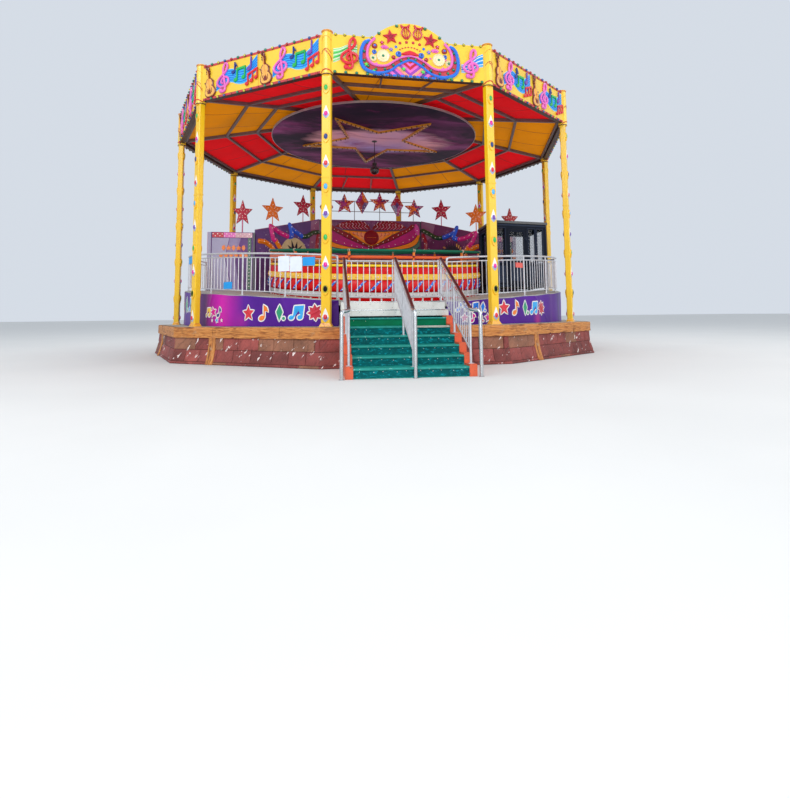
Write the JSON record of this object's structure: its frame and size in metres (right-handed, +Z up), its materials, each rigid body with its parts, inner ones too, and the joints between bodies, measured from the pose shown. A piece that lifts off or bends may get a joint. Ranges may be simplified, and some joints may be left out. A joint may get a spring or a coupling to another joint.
{
  "type": "tagada ride",
  "caption": "Fairground tagada: tilting, turning bowl with padded ring seat under a ten-sided canopy, on a ring deck with stair, railings, scenery and booth, on a masonry plinth",
  "frame": {"origin": "on the ground, at the foot of the canopy's and plinth's vertical axis", "axes": "+Z up, -Y toward the stair at the front, +X to the right for someone who faces the stair"},
  "size_m": [13.64, 15.0953, 7.9113],
  "materials": {
    "masonry": "painted block masonry",
    "timber": "painted timber",
    "stair_green": "worn green paint",
    "stair_red": "worn orange-red paint",
    "galvanised": "galvanised tube",
    "plate": "grey flecked deck plate",
    "maroon": "maroon gloss paint",
    "banner": "printed banner sheet",
    "column_yellow": "gloss yellow paint",
    "fascia_yellow": "gloss panel",
    "canvas": "orange and red canvas",
    "night": "dark painted sky",
    "lamp": "amber lamp tube",
    "black": "black paint",
    "bowl_red": "gloss red moulding",
    "seat_red": "red upholstery",
    "roll": "orange and yellow padded rolls",
    "rail_green": "gloss green paint",
    "scenery": "painted scenery panel",
    "glass": "tinted glass"
  },
  "bodies": {
    "ride_structure": {"plinth": "masonry", "plinth_timber_band": "timber", "stair_flight": "stair_green", "stair_cheek_left": "stair_red", "stair_cheek_right": "stair_red", "deck_steps": "plate", "handrail_left": "maroon", "handrail_centre": "maroon", "handrail_right": "maroon", "deck_front": "plate", "deck_left": "plate", "deck_right": "plate", "deck_rear": "plate", "pit_wall": "black", "deck_legs": "galvanised", "skirt_left": "banner", "skirt_right": "banner", "railing_left": "galvanised", "railing_right": "galvanised", "pedestal": "black", "column_01": "column_yellow", "column_02": "column_yellow", "column_03": "column_yellow", "column_04": "column_yellow", "column_05": "column_yellow", "column_06": "column_yellow", "column_07": "column_yellow", "column_08": "column_yellow", "column_09": "column_yellow", "column_10": "column_yellow", "fascia_front": "fascia_yellow", "fascia_right": "fascia_yellow", "fascia_rear": "fascia_yellow", "fascia_left": "fascia_yellow", "roof_front": "canvas", "roof_rear": "canvas", "ceiling_disc": "night", "ceiling_star": "lamp", "pendant_lamp": "black", "scenery_left": "scenery", "scenery_centre": "scenery", "scenery_right": "scenery", "sign_rack": "lamp", "cabinet_left": "scenery", "cabinet_right": "scenery", "booth_walls": "black", "booth_glass": "glass", "booth_roof": "black"},
    "tilting_frame": {"tilt_frame": "black"},
    "turning_bowl": {"bowl_floor": "bowl_red", "bowl_drum": "bowl_red", "bowl_lamp_band": "lamp", "bowl_wall": "bowl_red", "bowl_bench": "seat_red", "bowl_back_rolls": "roll", "bowl_grab_rail": "rail_green"},
    "left_gate": {"gate_left": "galvanised"},
    "right_gate": {"gate_right": "galvanised"},
    "booth_door_leaf": {"booth_door": "black"}
  },
  "joints": [
    {"name": "bowl_tilt", "type": "hinge", "parent": "ride_structure", "child": "tilting_frame", "pos_m": [0, 0.15, 1.3], "axis": [1, 0, 0], "range_deg": [-6, 6]},
    {"name": "bowl_spin", "type": "hinge", "parent": "tilting_frame", "child": "turning_bowl", "pos_m": [0, 0.15, 1.3], "axis": [0, -0.1045, 0.9945], "continuous": true},
    {"name": "gate_left_hinge", "type": "hinge", "parent": "ride_structure", "child": "left_gate", "pos_m": [-1.49433, -5.73784, 1.85], "axis": [0, 0, 1], "range_deg": [0, 90]},
    {"name": "gate_right_hinge", "type": "hinge", "parent": "ride_structure", "child": "right_gate", "pos_m": [0.64312, -5.84238, 1.85], "axis": [0, 0, 1], "range_deg": [-90, 0]},
    {"name": "booth_door_hinge", "type": "hinge", "parent": "ride_structure", "child": "booth_door_leaf", "pos_m": [4.68339, -1.55781, 2.9], "axis": [0, 0, 1], "range_deg": [0, 100]}
  ]
}
